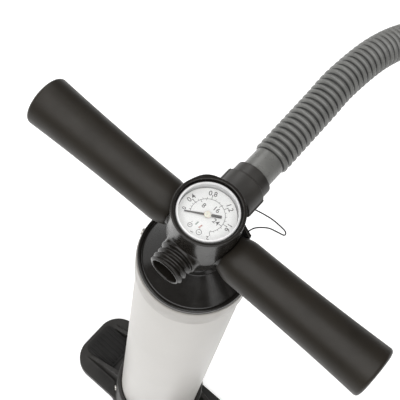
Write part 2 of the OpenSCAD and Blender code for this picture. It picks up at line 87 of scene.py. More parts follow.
# ------------------------------------------------------------------ mesh tools
def add_object(name, points, faces, material, crease=32):
    """A smooth-shaded mesh object from points in millimetres."""
    mesh = bpy.data.meshes.new(name)
    mesh.from_pydata((np.asarray(points, float) * MM).tolist(), [], faces)
    mesh.validate()
    mesh.update()
    mesh.shade_smooth()
    if crease:
        mesh.set_sharp_from_angle(angle=math.radians(crease))
    mesh.materials.append(material)
    obj = bpy.data.objects.new(name, mesh)
    bpy.context.scene.collection.objects.link(obj)
    return obj


def place(obj, body, slot, *nodes):
    """Ties a piece to its CAD body and hides the nodes that it stands for. The slot argument is
    not used.
    """
    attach(obj, body)
    if nodes:
        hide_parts(*nodes)
    return obj


def soften(profile, radius, steps=3, closed=True):
    """Rounds the corners of a profile of (radius, height) points."""
    p = [np.array(q, float) for q in profile]
    out = []
    for i, b in enumerate(p):
        ends = not closed and i in (0, len(p) - 1)
        if ends or b[0] < 1e-6:
            out.append(b)
            continue
        a, c = p[i - 1], p[(i + 1) % len(p)]
        la, lc = np.linalg.norm(a - b), np.linalg.norm(c - b)
        cut = min(radius, 0.45 * la, 0.45 * lc)
        s, e = b + (a - b) * cut / la, b + (c - b) * cut / lc
        for k in range(steps + 1):
            t = k / steps
            out.append((1 - t) ** 2 * s + 2 * t * (1 - t) * b + t * t * e)
    return out


def frame_of(axis):
    """Rows that take (across, over, along) to row-frame x, y, z for a lathe axis."""
    along = Vector(axis).normalized()
    side = Vector((1, 0, 0)) if abs(along.x) < 0.9 else Vector((0, 1, 0))
    across = (side - along * side.dot(along)).normalized()
    return np.array([across, along.cross(across), along])


def lathe(name, profile, material, centre=(0, 0, 0), axis=(0, 0, 1), sides=128, wave=None,
          round_to=0.4, closed=True, crease=32):
    """Turns a profile of (radius, height) about an axis. wave(angle, r, h) adds to r."""
    p = soften(profile, round_to, closed=closed) if round_to else [np.array(q) for q in profile]
    basis, centre = frame_of(axis), np.array(centre, float)
    angles = np.arange(sides) * 2 * math.pi / sides
    points, rows = [], []
    for r, h in p:
        if r < 1e-6:
            rows.append([len(points)] * sides)
            points.append(centre + basis[2] * h)
            continue
        rows.append(list(range(len(points), len(points) + sides)))
        for a in angles:
            rr = r + (wave(a, r, h) if wave else 0)
            points.append(centre + basis[0] * rr * math.cos(a) + basis[1] * rr * math.sin(a)
                          + basis[2] * h)
    faces = []
    spans = range(len(rows)) if closed else range(len(rows) - 1)
    area = sum(p[i][0] * p[(i + 1) % len(p)][1] - p[(i + 1) % len(p)][0] * p[i][1]
               for i in range(len(p)))
    for i in spans:
        lower, upper = rows[i], rows[(i + 1) % len(rows)]
        for k in range(sides):
            m = (k + 1) % sides
            quad = [lower[k], lower[m], upper[m], upper[k]]
            ring = [v for n, v in enumerate(quad) if v not in quad[:n]]
            if len(ring) >= 3:
                faces.append(ring if area > 0 else ring[::-1])
    return add_object(name, points, faces, material, crease)


def route(points, count):
    """Even steps along a smooth curve through the points of a route."""
    p = np.array(points, float)
    n = len(p) - 1
    fine = []
    for u in np.linspace(0, n, 40 * n + 1):
        i = min(int(u), n - 1)
        t = u - i
        b, c = p[i], p[i + 1]
        a = p[i - 1] if i else 2 * b - c
        d = p[i + 2] if i < n - 1 else 2 * c - b
        fine.append(0.5 * (2 * b + (c - a) * t + (2 * a - 5 * b + 4 * c - d) * t * t
                           + (3 * b - a - 3 * c + d) * t ** 3))
    fine = np.array(fine)
    length = np.concatenate([[0], np.cumsum(np.linalg.norm(np.diff(fine, axis=0), axis=1))])
    even = np.linspace(0, length[-1], count)
    return np.array([np.interp(even, length, fine[:, k]) for k in range(3)]).T, length[-1]


def tube(name, path, radii, sides, material, side, crease=0):
    """A closed tube along a path, with one radius for each of its points.

    The path never runs along the direction side.
    """
    way = np.gradient(path, axis=0)
    way /= np.linalg.norm(way, axis=1)[:, None]
    across = np.cross(way, side)
    across /= np.linalg.norm(across, axis=1)[:, None]
    over = np.cross(way, across)
    turn = np.arange(sides) * 2 * math.pi / sides
    ring = (across[:, None] * np.cos(turn)[None, :, None]
            + over[:, None] * np.sin(turn)[None, :, None])
    points = (path[:, None] + ring * np.asarray(radii)[:, None, None]).reshape(-1, 3)
    faces = [[i * sides + k, i * sides + (k + 1) % sides,
              (i + 1) * sides + (k + 1) % sides, (i + 1) * sides + k]
             for i in range(len(path) - 1) for k in range(sides)]
    faces.append(list(range(sides))[::-1])
    faces.append([(len(path) - 1) * sides + k for k in range(sides)])
    return add_object(name, points, faces, material, crease)


# ------------------------------------------------------------------ fields
def rod_field(radial, along, r, low, high, edge):
    """Distance to a rod with rounded ends, from its radial and axial coordinates."""
    a = radial - r + edge
    b = np.abs(along - (low + high) / 2) - (high - low) / 2 + edge
    return np.minimum(np.maximum(a, b), 0) + np.hypot(np.maximum(a, 0), np.maximum(b, 0)) - edge


def box_field(x, y, z, centre, half, edge):
    a, b, c = (np.abs(v - m) - h + edge for v, m, h in zip((x, y, z), centre, half))
    out = np.sqrt(np.maximum(a, 0) ** 2 + np.maximum(b, 0) ** 2 + np.maximum(c, 0) ** 2)
    return out + np.minimum(np.maximum(a, np.maximum(b, c)), 0) - edge


def join(a, b, k):
    """Union of two fields with a fillet of about k."""
    h = np.maximum(k - np.abs(a - b), 0) / k
    return np.minimum(a, b) - h * h * k / 4


def cut(a, b, k):
    """Field a less field b, with its edges rounded by about k."""
    return -join(-a, b, k)


def field_mesh(name, field, low, high, step, material, crease=0, instances=None):
    """The surface where field(x, y, z) is 0, negative inside, all in millimetres.

    Surface nets: one point in each grid cell that the surface crosses and one quad round
    each crossed grid edge; then two steps that pull the points onto the surface.
    """
    axes = [np.arange(a, b + step, step) for a, b in zip(low, high)]
    value = field(*np.meshgrid(*axes, indexing="ij", sparse=True)).astype(np.float32)
    cells = np.array(value.shape) - 1
    strides = np.array([cells[1] * cells[2], cells[2], 1])
    total = int(cells.prod())
    sums = np.zeros((4, total))
    quads = []
    for k in range(3):
        i, j = (k + 1) % 3, (k + 2) % 3
        a = np.take(value, range(cells[k]), axis=k)
        b = np.take(value, range(1, cells[k] + 1), axis=k)
        edges = np.argwhere((a < 0) != (b < 0))
        va, vb = a[tuple(edges.T)], b[tuple(edges.T)]
        at = edges.astype(float)
        at[:, k] += va / (va - vb)
        ring = []
        for di, dj in ((0, 0), (1, 0), (1, 1), (0, 1)):
            cell = edges.copy()
            cell[:, i] -= di
            cell[:, j] -= dj
            index = cell @ strides
            ring.append(index)
            for n in range(3):
                sums[n] += np.bincount(index, at[:, n], total)
            sums[3] += np.bincount(index, minlength=total)
        ring = np.stack(ring, 1)
        ring[va >= 0] = ring[va >= 0][:, ::-1]
        quads.append(ring)
    quads = np.concatenate(quads)
    used, faces = np.unique(quads, return_inverse=True)
    p = np.array(low, float) + step * (sums[:3, used] / sums[3, used]).T
    h = 0.25 * step
    for _ in range(2):
        here = field(*p.T)
        slope = np.stack([field(*(p + h * e).T) - field(*(p - h * e).T)
                          for e in np.eye(3)], 1) / (2 * h)
        move = slope * (here / np.maximum((slope ** 2).sum(1), 0.3))[:, None]
        p -= np.clip(move, -0.4 * step, 0.4 * step)
    faces = faces.reshape(quads.shape)
    if instances:
        p, faces = (np.concatenate([p @ np.array(m.to_3x3()).T + np.array(m.translation)
                                    for m in instances]),
                    np.concatenate([faces + n * len(p) for n in range(len(instances))]))
    return add_object(name, p, faces.tolist(), material, crease)


# ------------------------------------------------------------------ materials
def shader(name):
    material = bpy.data.materials.new(name)
    material.use_nodes = True
    tree = material.node_tree
    return material, tree, tree.nodes["Principled BSDF"]


def noise(tree, scale, detail=3.0, stretch=(1, 1, 1)):
    coordinates = tree.nodes.new("ShaderNodeTexCoord")
    mapping = tree.nodes.new("ShaderNodeMapping")
    mapping.inputs["Scale"].default_value = stretch
    texture = tree.nodes.new("ShaderNodeTexNoise")
    texture.inputs["Scale"].default_value = scale
    texture.inputs["Detail"].default_value = detail
    tree.links.new(coordinates.outputs["Object"], mapping.inputs["Vector"])
    tree.links.new(mapping.outputs["Vector"], texture.inputs["Vector"])
    return texture.outputs["Fac"]


def spread(tree, value, low, high, to_low, to_high):
    node = tree.nodes.new("ShaderNodeMapRange")
    for key, v in zip(("From Min", "From Max", "To Min", "To Max"), (low, high, to_low, to_high)):
        node.inputs[key].default_value = v
    tree.links.new(value, node.inputs["Value"])
    return node.outputs["Result"]


def blend_colours(tree, amount, first, second):
    node = tree.nodes.new("ShaderNodeMix")
    node.data_type = "RGBA"
    tree.links.new(amount, node.inputs["Factor"])
    for socket, colour in (("A", first), ("B", second)):
        target = [s for s in node.inputs if s.name == socket and s.type == "RGBA"][0]
        if isinstance(colour, bpy.types.NodeSocket):
            tree.links.new(colour, target)
        else:
            target.default_value = (*colour, 1)
    return [s for s in node.outputs if s.type == "RGBA"][0]


def surface(name, colour, rough, vary=0.2, patch=45, grain=1500, depth=0.15, wear=0.0,
            worn=None, metal=0.0, specular=0.5, stretch=(1, 1, 1), rough_vary=0.06,
            subsurface=0.0, painted_shade=0.0):
    """A moulded, turned or rubber surface: mottled, finely grained, unevenly glossy, worn;
    optionally darkened in its hollows as painted shade.
    """
    material, tree, bsdf = shader(name)
    dark, light = [[c * (1 + s * vary) for c in colour] for s in (-1, 1)]
    mottle = noise(tree, patch, 4, stretch)
    tint = blend_colours(tree, spread(tree, mottle, 0.3, 0.7, 0, 1), dark, light)
    if wear:
        edge = tree.nodes.new("ShaderNodeNewGeometry").outputs["Pointiness"]
        rub = tree.nodes.new("ShaderNodeMath")
        rub.operation = "MULTIPLY"
        tree.links.new(spread(tree, edge, 0.515, 0.6, 0, wear), rub.inputs[0])
        tree.links.new(spread(tree, noise(tree, 160, 2), 0.35, 0.65, 0.3, 1), rub.inputs[1])
        tint = blend_colours(tree, rub.outputs[0], tint, worn or [min(1, c * 2.2) for c in colour])
    # Painted shade: where Pointiness marks a hollow, the colour darkens towards a quarter of its
    # own value.
    if painted_shade:
        shade_mask = tree.nodes.new("ShaderNodeNewGeometry").outputs["Pointiness"]
        tint = blend_colours(tree, spread(tree, shade_mask, 0.42, 0.5, painted_shade, 0), tint,
                             [c * 0.25 for c in colour])
    tree.links.new(tint, bsdf.inputs["Base Color"])
    gloss = noise(tree, patch * 2.3, 5, stretch)
    tree.links.new(spread(tree, gloss, 0.3, 0.7, rough - rough_vary, rough + rough_vary),
                   bsdf.inputs["Roughness"])
    bump = tree.nodes.new("ShaderNodeBump")
    bump.inputs["Strength"].default_value = depth
    bump.inputs["Distance"].default_value = 0.0003
    tree.links.new(noise(tree, grain, 2, stretch), bump.inputs["Height"])
    tree.links.new(bump.outputs["Normal"], bsdf.inputs["Normal"])
    bsdf.inputs["Metallic"].default_value = metal
    bsdf.inputs["Specular IOR Level"].default_value = specular
    if subsurface:
        bsdf.inputs["Subsurface Weight"].default_value = subsurface
        bsdf.inputs["Subsurface Scale"].default_value = 0.003
    return material


def clear_plastic(name, tint, see_through, rough):
    """Clear moulded plastic: mostly see-through, with a glossy skin and faint scratches."""
    material, tree, bsdf = shader(name)
    out = tree.nodes["Material Output"]
    clear = tree.nodes.new("ShaderNodeBsdfTransparent")
    clear.inputs["Color"].default_value = (*tint, 1)
    bsdf.inputs["Base Color"].default_value = (*tint, 1)
    tree.links.new(spread(tree, noise(tree, 300, 5), 0.35, 0.75, rough, rough + 0.12),
                   bsdf.inputs["Roughness"])
    edge = tree.nodes.new("ShaderNodeFresnel")
    edge.inputs["IOR"].default_value = 1.5
    mix = tree.nodes.new("ShaderNodeMixShader")
    tree.links.new(spread(tree, edge.outputs[0], 0.03, 0.7, 1 - see_through, 0.9),
                   mix.inputs["Fac"])
    tree.links.new(clear.outputs[0], mix.inputs[1])
    tree.links.new(bsdf.outputs[0], mix.inputs[2])
    tree.links.new(mix.outputs[0], out.inputs["Surface"])
    return material


MATERIALS = {
    "base_black": surface("base_black", (0.021, 0.0195, 0.0175), 0.5, wear=0.5, grain=900,
                          depth=0.35, specular=0.35),
    "rubber_black": surface("rubber_black", (0.012, 0.0112, 0.0105), 0.6, depth=0.3, specular=0.3),
    "screw_steel": surface("screw_steel", (0.6, 0.58, 0.54), 0.3, metal=1.0, wear=0.4,
                           worn=(0.85, 0.83, 0.8)),
    "barrel_white": surface("barrel_white", (0.57, 0.55, 0.52), 0.35, vary=0.02, patch=12,
                            grain=600, depth=0.01, rough_vary=0.02),
    "collar_pale": surface("collar_pale", (0.4, 0.38, 0.352), 0.35, vary=0.03, depth=0.08),
    "cap_black": surface("cap_black", (0.0125, 0.0112, 0.0098), 0.2, wear=0.4, depth=0.1,
                         worn=(0.05, 0.046, 0.042), specular=0.45),
    "bush_nylon": surface("bush_nylon", (0.72, 0.7, 0.62), 0.4, vary=0.05, subsurface=0.2),
    "rod_aluminium": surface("rod_aluminium", (0.72, 0.73, 0.75), 0.24, metal=1.0, vary=0.04,
                             stretch=(1, 1, 0.04), grain=2500, depth=0.08),
    "tube_clear": surface("tube_clear", (0.75, 0.76, 0.74), 0.2, vary=0.03),
    "piston_plastic": surface("piston_plastic", (0.04, 0.04, 0.045), 0.4),
    "hub_black": surface("hub_black", (0.012, 0.0103, 0.0084), 0.25, vary=0.25, wear=0.4,
                         worn=(0.05, 0.046, 0.041), depth=0.04, specular=0.36,
                         rough_vary=0.03),
    "grip_black": surface("grip_black", (0.0195, 0.0162, 0.0122), 0.42, vary=0.15, patch=30,
                          depth=0.3, specular=0.27),
    "brass": surface("brass", (0.62, 0.44, 0.18), 0.3, metal=1.0),
    "gauge_black": surface("gauge_black", (0.01, 0.01, 0.01), 0.35),
    "dial_white": surface("dial_white", (0.82, 0.815, 0.795), 0.35, vary=0.02, patch=200,
                          grain=3000, depth=0.08),
    "needle_dark": surface("needle_dark", (0.075, 0.071, 0.067), 0.4),
    "boss_cream": surface("boss_cream", (0.76, 0.72, 0.62), 0.25, vary=0.06, subsurface=0.1),
    "valve_red": surface("valve_red", (0.22, 0.025, 0.018), 0.45),
    "cord_black": surface("cord_black", (0.012, 0.012, 0.012), 0.6, grain=4000, depth=0.5),
    # hose_grey is darkened in the hose's grooves as painted shade.
    "hose_grey": surface("hose_grey", (0.155, 0.155, 0.147), 0.3, vary=0.12, patch=80,
                         depth=0.1, painted_shade=0.6),
    "nozzle_black": surface("nozzle_black", (0.016, 0.0148, 0.0135), 0.35, wear=0.3),
}
MATERIALS["gauge_clear"] = clear_plastic("gauge_clear", (0.995, 0.997, 1.0), 0.985, 0.03)
# The lens's clear wall is a near-opaque off-white: painted light for the dial's light seen through
# the wall.
SKIRT_PAINTED_LIGHT = clear_plastic("gauge_skirt_painted_light", (0.97, 0.965, 0.96), 0.28, 0.06)
# Near-black material for the hose's grooves: painted shade.
HOSE_GROOVE_SHADE = surface("hose_groove_shade", (0.035, 0.035, 0.033), 0.5, vary=0.3, patch=80)
NUT_BLACK = surface("nut_black", (0.03, 0.0275, 0.0245), 0.42, vary=0.25, wear=0.5,
                    worn=(0.07, 0.064, 0.057), depth=0.1)
PRINT = surface("dial_print", (0.075, 0.07, 0.068), 0.4, vary=0.3, patch=900)
GREEN = surface("dial_green", (0.34, 0.4, 0.35), 0.4)
RED = surface("dial_red", (0.58, 0.36, 0.32), 0.4)

# Every CAD piece takes its slot's material; those that nothing replaces stay in view
for entry in frame["record"]["subparts"]:
    data = NODES[entry["node"]].data
    data.materials.clear()
    data.materials.append(MATERIALS[entry["material_slot"]])


# ------------------------------------------------------------------ nozzle
NOZZLE = (300.0, -100.0, 17.0)


def spigot_field(x, y, z):
    """The nozzle's bayonet end, with its lugs, seal groove and bore."""
    about, along = np.hypot(x, z), -y
    body = rod_field(about, along, 15.5, 44, 47, 0.5)
    stem = rod_field(about, along, 11.5, 45, 66.5, 1.0)
    body = join(body, stem, 0.8)
    lugs = box_field(np.abs(x), along, z, (11.8, 60.5, 0), (2.0, 2.0, 3.5), 0.5)
    body = join(body, lugs, 0.5)
    groove = np.maximum(9.5 - about, np.abs(along - 52.25) - 1.25)
    body = cut(body, groove, 0.2)
    return cut(body, rod_field(about, along, 5.0, 40, 70, 0.2), 0.6)


def knurl(angle, r, along):
    """Shallow grip flutes round the nozzle's body."""
    return -0.35 * max(0.0, math.cos(18 * angle)) ** 3 if r > 16.5 else 0.0


def make_nozzle():
    pieces = []
    turned = [
        ("nozzle_cuff_skin", [(11, 0.2), (13.6, 0.2), (14, 0.7), (14, 24), (11, 24)],
         "hose_grey", "nozzle_cuff", None),
        ("nozzle_grip", [(14.1, 10), (15.8, 10), (17, 11), (17, 14), (17, 36), (17, 38),
                         (15, 44), (7.1, 44), (7.1, 24.1), (14.1, 24.1)],
         "nozzle_black", "nozzle_body", knurl),
        ("nozzle_ring", [(9.6, 51.1), (11.6, 51.1), (12, 52.2), (11.6, 53.4), (9.6, 53.4)],
         "valve_red", "nozzle_seal", None),
    ]
    for name, profile, slot, node, wave in turned:
        piece = lathe(name, profile, MATERIALS[slot], centre=NOZZLE, axis=(0, -1, 0), sides=144,
                      wave=wave, round_to=0.4)
        pieces.append(place(piece, "barrel", slot, node))
    spigot = field_mesh("nozzle_end", spigot_field, (-16.6, -67.6, -16.6), (16.6, -43, 16.6), 0.51,
                        MATERIALS["nozzle_black"], instances=[Matrix.Translation(NOZZLE)])
    pieces.append(place(spigot, "barrel", "nozzle_black", "nozzle_spigot"))
    return pieces


# ------------------------------------------------------------------ cords
HOSE_ROUTE = [
    (0, 86, 573), (-0.5, 121, 573), (-1, 156, 573), (-1.5, 190, 573), (3, 240, 567),
    (13, 288, 547), (29, 325, 516), (50, 350, 477), (76, 362, 434), (97, 364, 387),
    (125, 363, 341), (147, 364, 295), (174, 363, 252), (196, 366, 204), (219, 361, 163),
    (246, 351, 117), (268, 329, 77), (283, 295, 45), (294, 249, 24), (302, 194, 17),
    (300, 138, 17), (300, 78, 17), (300, 19, 17), (300, -41, 17), (300, -100, 17),
]
TETHER_ROUTE = [
    (2, 46, 546.5), (8, 51, 546.5), (16, 55, 546), (29, 59, 543), (39, 59.5, 542),
    (46, 58, 543), (47.5, 54, 545), (42, 50, 550), (36, 45, 557), (31.5, 38, 564),
    (28.5, 31, 570), (27, 23.4, 574),
]
HOSE_R, HOSE_PITCH, GROOVE_DEPTH = 15.95, 6.4, 3.0
RING_STEPS, GROOVE_SHADE_STEPS, HOSE_SIDES = 12, 2, 44
TETHER_R = 0.6


def make_hose(pieces):
    _, length = route(HOSE_ROUTE, 2)
    turns = round(length / HOSE_PITCH)
    path, length = route(HOSE_ROUTE, turns * RING_STEPS + 1)
    bead = np.abs(2 * (np.arange(len(path)) / RING_STEPS % 1) - 1)
    radii = HOSE_R - GROOVE_DEPTH * (0.5 - 0.5 * np.cos(math.pi * bead)) ** 2
    hose = tube("hose", path, radii, HOSE_SIDES, MATERIALS["hose_grey"], (1, 0, 0))
    # Faces at the bottom of each groove take the near-black groove material: painted shade.
    hose.data.materials.append(HOSE_GROOVE_SHADE)
    for face in hose.data.polygons[:(len(path) - 1) * HOSE_SIDES]:
        step = face.index // HOSE_SIDES % RING_STEPS
        face.material_index = int(step < GROOVE_SHADE_STEPS or step >= RING_STEPS - GROOVE_SHADE_STEPS)
    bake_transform(hose)
    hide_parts("hose_tube")


def make_tether():
    path, length = route(TETHER_ROUTE, 90)
    radii = np.full(len(path), TETHER_R)
    radii[:2] = TETHER_R * 1.5  # the knot at the plug
    tether = tube("tether_cord", path, radii, 12, MATERIALS["cord_black"], (0, 0, 1))
    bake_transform(tether)
    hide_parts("tether")


make_hose(make_nozzle())
make_tether()


# ------------------------------------------------------------------ top cap, collar, barrel
def make_top():
    cap = lathe("cap_shell", [
        (18.1, RIM - 20), (18.1, RIM + 20), (24.5, RIM + 20), (45.6, RIM - 0.9),
        (46.4, RIM - 1.2), (46.8, RIM - 0.2), (47.4, RIM), (49.2, RIM), (49.8, RIM - 0.7),
        (49.8, RIM - 5.8), (46.35, RIM - 5.8), (46.35, RIM - 20.5), (44.65, RIM - 20.5),
        (44.65, RIM - 24), (46.35, RIM - 24), (46.35, RIM - 32), (42.5, RIM - 32),
        (42.5, RIM - 6), (24, RIM + 10), (24, RIM - 20)],
        MATERIALS["cap_black"], sides=192, round_to=0.5)
    place(cap, "barrel", "cap_black", "top_cap")
    low = RIM - 31.8
    collar = lathe("collar_band", [
        (49.05, low), (49.9, low), (50.2, low + 0.5), (50.2, low + 1.1), (50.8, low + 1.5),
        (50.8, RIM - 6.2), (50.5, RIM - 5.85), (49.05, RIM - 5.85)],
        MATERIALS["collar_pale"], sides=192, round_to=0.25)
    place(collar, "barrel", "collar_pale", "barrel_collar")
    barrel = lathe("barrel_skin", [(46.5, 14), (49, 14), (49, RIM - 6), (46.5, RIM - 6)],
                   MATERIALS["barrel_white"], sides=192, round_to=0.4)
    place(barrel, "barrel", "barrel_white", "barrel_tube")


def screw_field(x, y, z):
    """A pan head of radius 3.4 with a cross recess and a shank down from z = 0."""
    radial = np.hypot(x, y)
    head = rod_field(radial, z, 3.4, 0, 2.1, 0.75)
    shank = rod_field(radial, z, 1.6, -3.0, 0.4, 0.2)
    body = join(head, shank, 0.2)
    cross = np.minimum(box_field(x, y, z, (0, 0, 2.4), (1.9, 0.38, 1.1), 0.15),
                       box_field(x, y, z, (0, 0, 2.4), (0.38, 1.9, 1.1), 0.15))
    return cut(body, cross, 0.15)


def screws(name, height, radius, angles, body, node):
    """Cross-head screws whose heads sit at a radius and height, pointing outwards."""
    places = [Matrix.Rotation(math.radians(a), 4, "Z") @ Matrix.Translation((radius, 0, height))
              @ Matrix.Rotation(math.pi / 2, 4, "Y") for a in angles]
    obj = field_mesh(name, screw_field, (-3.8, -3.8, -3.3), (3.8, 3.8, 2.5), 0.2,
                     MATERIALS["screw_steel"], 40, places)
    place(obj, body, "screw_steel", node)


def make_rod():
    gland = lathe("gland", [
        (14.35, RIM + 15.6), (18, RIM + 15.6), (18, RIM + 19.9), (24.2, RIM + 20),
        (24.3, RIM + 20.4), (21.6, RIM + 22.9), (14.35, RIM + 22.9)],
        MATERIALS["cap_black"], round_to=0.35)
    place(gland, "barrel", "cap_black", "gland_ring")
    rod = lathe("rod_skin", [(12.4, 38), (14, 38), (14, RIM + 46), (12.4, RIM + 46)],
                MATERIALS["rod_aluminium"], round_to=0.3)
    place(rod, "handle", "rod_aluminium", "outer_rod")


make_top()
make_rod()
screws("cap_screw_set", RIM - 12, 50.85, [10.7, 190.7], "barrel", "cap_screws")
screws("base_screw_set", 40, 55.2, [45 + 90 * k for k in range(4)], "barrel", "base_screws")


# ------------------------------------------------------------------ hub
PORT_MOUTH, PORT_ROOT = -47.0, -31.5
THREAD_PITCH = 5.0
BROW_TURN = math.radians(132)


def hub_field(x, y, z):
    """Gauge pot, neck, grip arms and the threaded front port, with their bores."""
    up = z - AXIS
    about_z, about_y, about_x = np.hypot(x, y), np.hypot(x, up), np.hypot(y, up)
    pot = rod_field(about_z, z, 29.4, 571.5, POT_TOP, 0.5)
    neck = rod_field(about_z, z, 22.0, 539, 576, 0.7)
    arm = rod_field(about_x, x, 15.2, -40, 40, 0.6)
    brow_x, brow_y = 12.5 * math.cos(BROW_TURN), 12.5 * math.sin(BROW_TURN)
    brow = rod_field(np.hypot(x - brow_x, y - brow_y), z, 18.5, POT_TOP - 12, POT_TOP - 0.4, 0.9)
    pot = join(pot, brow, 1.0)
    body = join(join(pot, neck, 1.2), arm, 0.5)
    flange = rod_field(about_y, y, 16.6, PORT_ROOT, 0, 0.8)
    phase = (y - PORT_MOUTH) / THREAD_PITCH - np.arctan2(x, up) / (2 * math.pi)
    ridge = np.clip(1.25 - 3.0 * np.abs(phase % 1 - 0.35), 0, 1)
    fade = np.clip((y - PORT_MOUTH - 0.2) / 1.2, 0, 1)
    port = rod_field(about_y - 1.9 * ridge * fade, y, 13.5, PORT_MOUTH, 0, 0.5) * 0.75
    rear = rod_field(about_y, y, 15.4, 0, 46, 0.5)
    body = join(body, join(flange, port, 0.6), 1.6)
    body = join(body, rear, 1.0)
    ear = box_field(x - 25.5, y - 21.6 + 0.41 * (x - 25.5) * (x > 22), up, (0, 0, 0),
                    (7.0, 1.6, 7.0), 0.4) * 0.85
    body = join(body, ear, 0.8)
    body = cut(body, rod_field(about_z, z, 26.6, POT_FLOOR, 640, 0.6), 0.5)
    body = cut(body, rod_field(about_z, z, 14.05, 520, 561, 0.3), 0.4)
    body = cut(body, rod_field(about_y, y, 12.0, -60, -29, 0.3), 0.7)
    body = cut(body, rod_field(about_y, y, 8.0, -40, 21, 0.3), 0.4)
    body = cut(body, rod_field(about_y, y, 11.5, 20, 60, 0.3), 0.5)
    body = cut(body, rod_field(np.hypot(x, z - PLUG_HEIGHT), y, 3.85, 10, 30, 0.2), 0.4)
    for side in (-1, 1):
        body = cut(body, rod_field(about_x, x * side, 12.55, 20, 60, 0.3), 0.3)
        body = cut(body, rod_field(np.hypot(y, z - 549), x * side, 3.5, 19.8, 30, 0.2), 0.4)
    return np.maximum(body, z - POT_TOP)


hub = field_mesh("hub", hub_field, (-42, -49, 537), (42, 48, 615.5), 0.7, MATERIALS["hub_black"])
place(hub, "handle", "hub_black", "hub_body")


# ------------------------------------------------------------------ grips
def grip_radius(x):
    """The waisted outline of a grip at x from the pump's axis."""
    neck = 3.75 * max(0.0, (42 - x) / 14.2) ** 2
    return 20.25 - 2.0 * x / 100 + 2.1 * (x / 100) ** 2 - neck


def make_grips():
    inner, outer, corner, pot_gap = 27.8, 174.0, 3.5, 29.7
    last = outer - corner - 0.7
    profile = [(15.5, inner + 0.1), (grip_radius(inner) - 0.2, inner),
               (grip_radius(inner + 0.3), inner + 0.3)]
    profile += [(grip_radius(inner + k * 1.42), inner + k * 1.42) for k in range(1, 11)]
    profile += [(grip_radius(42 + k * (last - 42) / 16), 42 + k * (last - 42) / 16)
                for k in range(1, 17)]
    end = grip_radius(last)
    profile += [(end - corner * (1 - math.cos(a)), last + corner * math.sin(a))
                for a in np.radians(np.arange(12, 91, 12))]
    profile += [(end - corner - 1.0, last + corner + 0.35), (8, outer - 0.1), (0, outer),
                (0, outer - 5.5), (12.6, outer - 5.5), (12.6, 75.5), (15.5, 75.5)]
    for name, side in (("grip_sleeve_left", -1), ("grip_sleeve_right", 1)):
        grip = lathe(name, profile, MATERIALS["grip_black"], centre=(0, 0, AXIS),
                     axis=(side, 0, 0), sides=128, round_to=0)
        for v in grip.data.vertices:  # the inner end follows the pot's wall
            x, y, z = (c / MM for c in v.co)
            if z > AXIS - 1.5 and math.hypot(x, y) < pot_gap and abs(x) < 31:
                v.co.x = side * math.sqrt(pot_gap ** 2 - y ** 2) * MM
        place(grip, "handle", "grip_black", "grip_left" if side < 0 else "grip_right")


make_grips()


# ------------------------------------------------------------------ gauge
LENS_R = 25.1
NEEDLE_REST = -148.5  # degrees


def needle_field(x, y, z):
    """The pointer at rest, its staff and its pinion."""
    c, s = math.cos(math.radians(NEEDLE_REST)), math.sin(math.radians(NEEDLE_REST))
    u, v = x * c + y * s, y * c - x * s
    half = np.where(u < -3.5, 1.2, np.clip(0.95 - 0.025 * u, 0.35, 0.9))
    arm = np.maximum(np.maximum(np.abs(v) - half, np.abs(z - 605.45) - 0.27),
                     np.abs(u - 3.6) - 14.6)
    about = np.hypot(x, y)
    staff = rod_field(about, z, 0.7, 593.4, 605.6, 0.1)
    return np.minimum(np.minimum(arm, staff), rod_field(about, z, 1.5, 595.3, 596.6, 0.1))


def make_gauge():
    seal = lathe("gauge_ring", [
        (25.2, POT_FLOOR), (26.55, POT_FLOOR), (26.55, POT_TOP - 3.5), (25.2, POT_TOP - 3.5)],
        MATERIALS["rubber_black"], round_to=0.3)
    place(seal, "handle", "rubber_black", "gauge_gasket")
    lens = lathe("gauge_cap", [
        (0, LENS_TOP), (23.3, LENS_TOP), (23.3, LENS_TOP - 1.8), (0, LENS_TOP - 1.8)],
        MATERIALS["gauge_clear"], round_to=0.3, closed=False)
    place(lens, "handle", "gauge_clear", "gauge_lens")
    skirt = lathe("gauge_cap_wall", [
        (23.85, LENS_TOP - 14), (LENS_R, LENS_TOP - 14), (LENS_R, LENS_TOP - 1.2),
        (LENS_R - 0.5, LENS_TOP - 0.4), (23.35, LENS_TOP), (23.35, LENS_TOP - 1.8),
        (23.85, LENS_TOP - 1.9)], SKIRT_PAINTED_LIGHT, round_to=0.4)
    place(skirt, "handle", "gauge_clear")
    dial = lathe("dial_plate", [
        (0, DIAL_TOP), (23.1, DIAL_TOP), (23.4, DIAL_TOP - 0.3), (23.4, DIAL_TOP - 0.6),
        (0, DIAL_TOP - 0.6)], MATERIALS["dial_white"], round_to=0.1, closed=False)
    place(dial, "handle", "dial_white", "gauge_dial")
    boss = lathe("needle_cap", [
        (0, DIAL_TOP + 1.3), (2.9, DIAL_TOP + 1.3), (2.9, DIAL_TOP + 2.3), (2.3, DIAL_TOP + 2.8),
        (1.1, DIAL_TOP + 2.9), (0.9, DIAL_TOP + 2.5), (0, DIAL_TOP + 2.5)],
        MATERIALS["boss_cream"], sides=48, round_to=0.2, closed=False)
    place(boss, "needle", "boss_cream", "needle_boss")
    arm = field_mesh("needle_arm", needle_field, (-18, -11, 592.9), (11, 7.5, 606.3), 0.2,
                     MATERIALS["needle_dark"], 35)
    place(arm, "needle", "needle_dark", "needle")


SCALE_R = 13.8
BAR_ANGLES = (-150, -188, -243.5, -297.5, -350.5, -404)
BAR_LABELS = ("0", "0,4", "0,8", "1,2", "1,6", "2")
PSI_MARKS = ((8, -208), (16, -282.5), (24, -358.4))
PSI_STEP = 37.6


